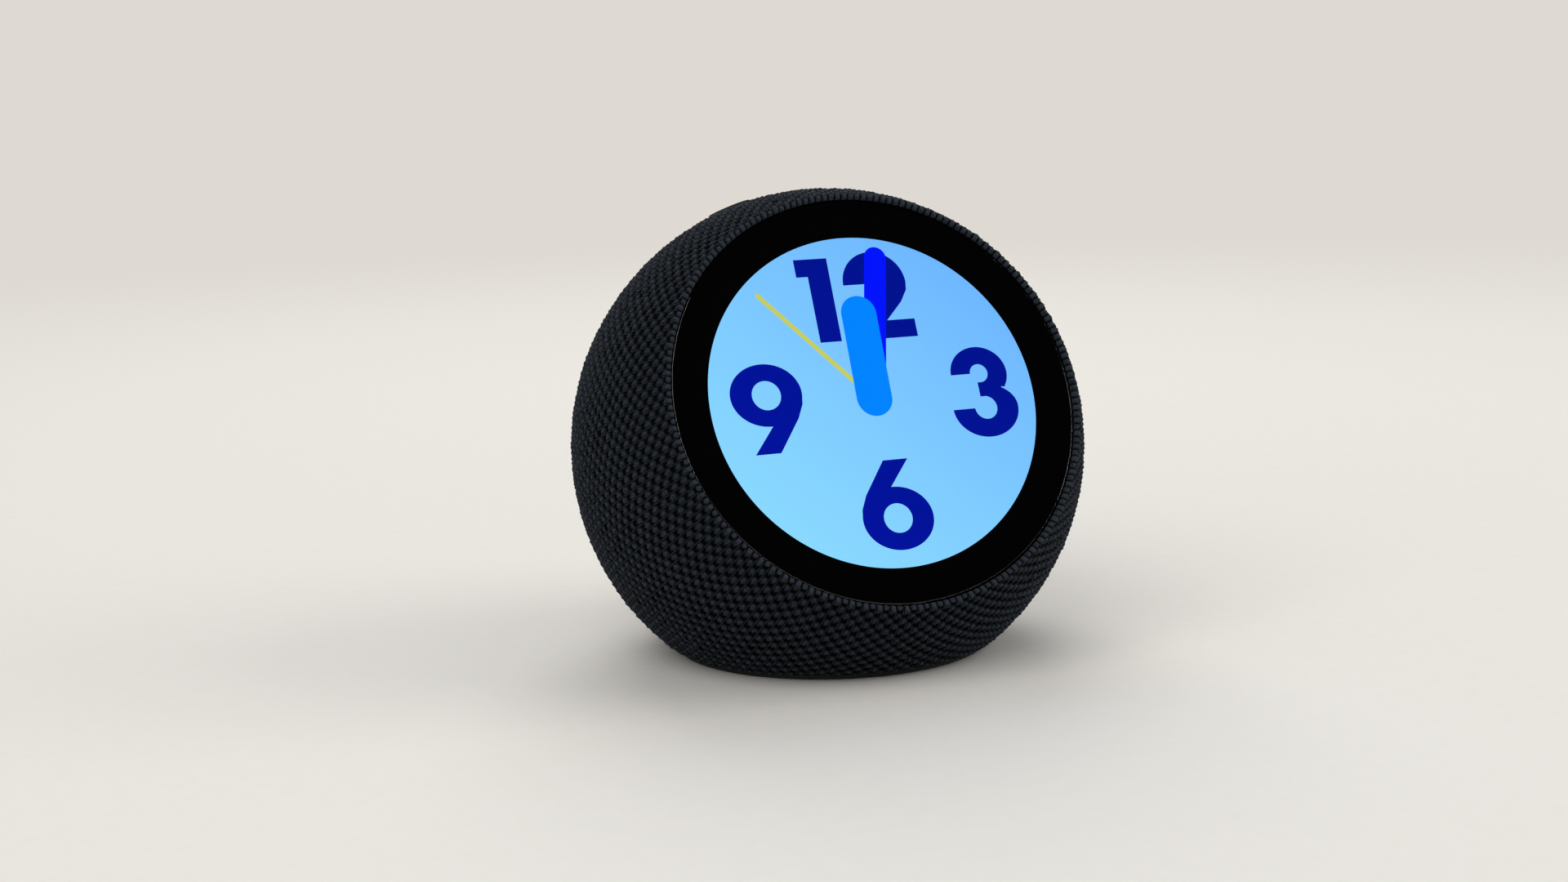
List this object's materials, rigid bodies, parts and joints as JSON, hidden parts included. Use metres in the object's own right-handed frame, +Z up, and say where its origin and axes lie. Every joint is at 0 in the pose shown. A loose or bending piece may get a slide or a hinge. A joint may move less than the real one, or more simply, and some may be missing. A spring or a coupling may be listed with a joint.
{
  "type": "smart speaker clock",
  "caption": "Ball-shaped smart speaker in a dark knit sleeve, flat underneath, with a round tilted display showing a clock face and press buttons on top.",
  "frame": {"origin": "on the resting plane, in the middle of the foot's flat face, under the centre of the ball", "axes": "+Z up; -Y the way the display faces, before its backward tilt; +X to the right of someone who looks at the display"},
  "size_m": [0.108, 0.1012, 0.0966],
  "materials": {
    "knit_cover": "charcoal grey knit",
    "cover_glass": "polished, printed black border",
    "display_picture": "lit picture",
    "tray_plastic": "moulded white",
    "housing_plastic": "moulded black",
    "button_rubber": "soft touch charcoal",
    "foot_rubber": "matte black",
    "foam_tape": "closed cell foam",
    "pressed_steel": "plated",
    "circuit_board": "green solder mask",
    "ribbon_film": "polyimide film",
    "spreader_aluminium": "black anodised",
    "magnet_ferrite": "sintered",
    "cone_paper": "pressed pulp",
    "coil_copper": "enamelled copper",
    "contact_brass": "nickel plated",
    "screw_steel": "zinc plated",
    "lead_jacket": "black insulated wire"
  },
  "bodies": {
    "housing": {"fabric_cover": "knit_cover", "front_frame": "housing_plastic", "upper_shell": "housing_plastic", "lower_shell": "housing_plastic", "base_plate": "housing_plastic", "foot": "foot_rubber", "cover_glass": "cover_glass", "glass_tape": "foam_tape", "display_panel": "display_picture", "backlight_tray": "tray_plastic", "display_bracket": "pressed_steel", "display_screws": "screw_steel", "display_ribbon": "ribbon_film", "main_board": "circuit_board", "board_screws": "screw_steel", "shield_can": "pressed_steel", "thermal_pad": "foam_tape", "heat_spreader": "spreader_aluminium", "board_sockets": "tray_plastic", "button_board": "circuit_board", "button_board_screws": "screw_steel", "button_switches": "housing_plastic", "microphone_boots": "foot_rubber", "housing_screws": "screw_steel", "base_screws": "screw_steel", "acoustic_chamber": "housing_plastic", "chamber_screws": "screw_steel", "driver_basket": "pressed_steel", "driver_screws": "screw_steel", "driver_gasket": "foam_tape", "front_plate": "pressed_steel", "ring_magnet": "magnet_ferrite", "pole_yoke": "pressed_steel", "cone_surround": "foot_rubber", "spider": "ribbon_film", "inlet_ring": "housing_plastic", "power_jack": "housing_plastic", "jack_pin": "contact_brass", "antenna_left": "ribbon_film", "antenna_right": "ribbon_film", "power_leads": "lead_jacket", "speaker_leads": "lead_jacket", "button_ribbon": "ribbon_film", "driver_terminals": "tray_plastic"},
    "button_left": {"button_left": "button_rubber", "button_left_plunger": "tray_plastic"},
    "button_middle": {"button_middle": "button_rubber", "button_middle_plunger": "tray_plastic"},
    "button_right": {"button_right": "button_rubber", "button_right_plunger": "tray_plastic"},
    "cone_assembly": {"speaker_cone": "cone_paper", "dust_cap": "cone_paper", "voice_coil": "coil_copper"}
  },
  "joints": [
    {"name": "button_left_press", "type": "slide", "parent": "housing", "child": "button_left", "axis": [0, -0.2588, -0.9659], "range_m": [0, 0.0004], "stiffness_N_per_m": 900},
    {"name": "button_middle_press", "type": "slide", "parent": "housing", "child": "button_middle", "axis": [0, -0.2588, -0.9659], "range_m": [0, 0.0004], "stiffness_N_per_m": 900},
    {"name": "button_right_press", "type": "slide", "parent": "housing", "child": "button_right", "axis": [0, -0.2588, -0.9659], "range_m": [0, 0.0004], "stiffness_N_per_m": 900},
    {"name": "cone_travel", "type": "slide", "parent": "housing", "child": "cone_assembly", "axis": [0, 0, 1], "range_m": [-0.001, 0.001], "stiffness_N_per_m": 1200, "deforming": ["cone_surround", "spider"]}
  ]
}
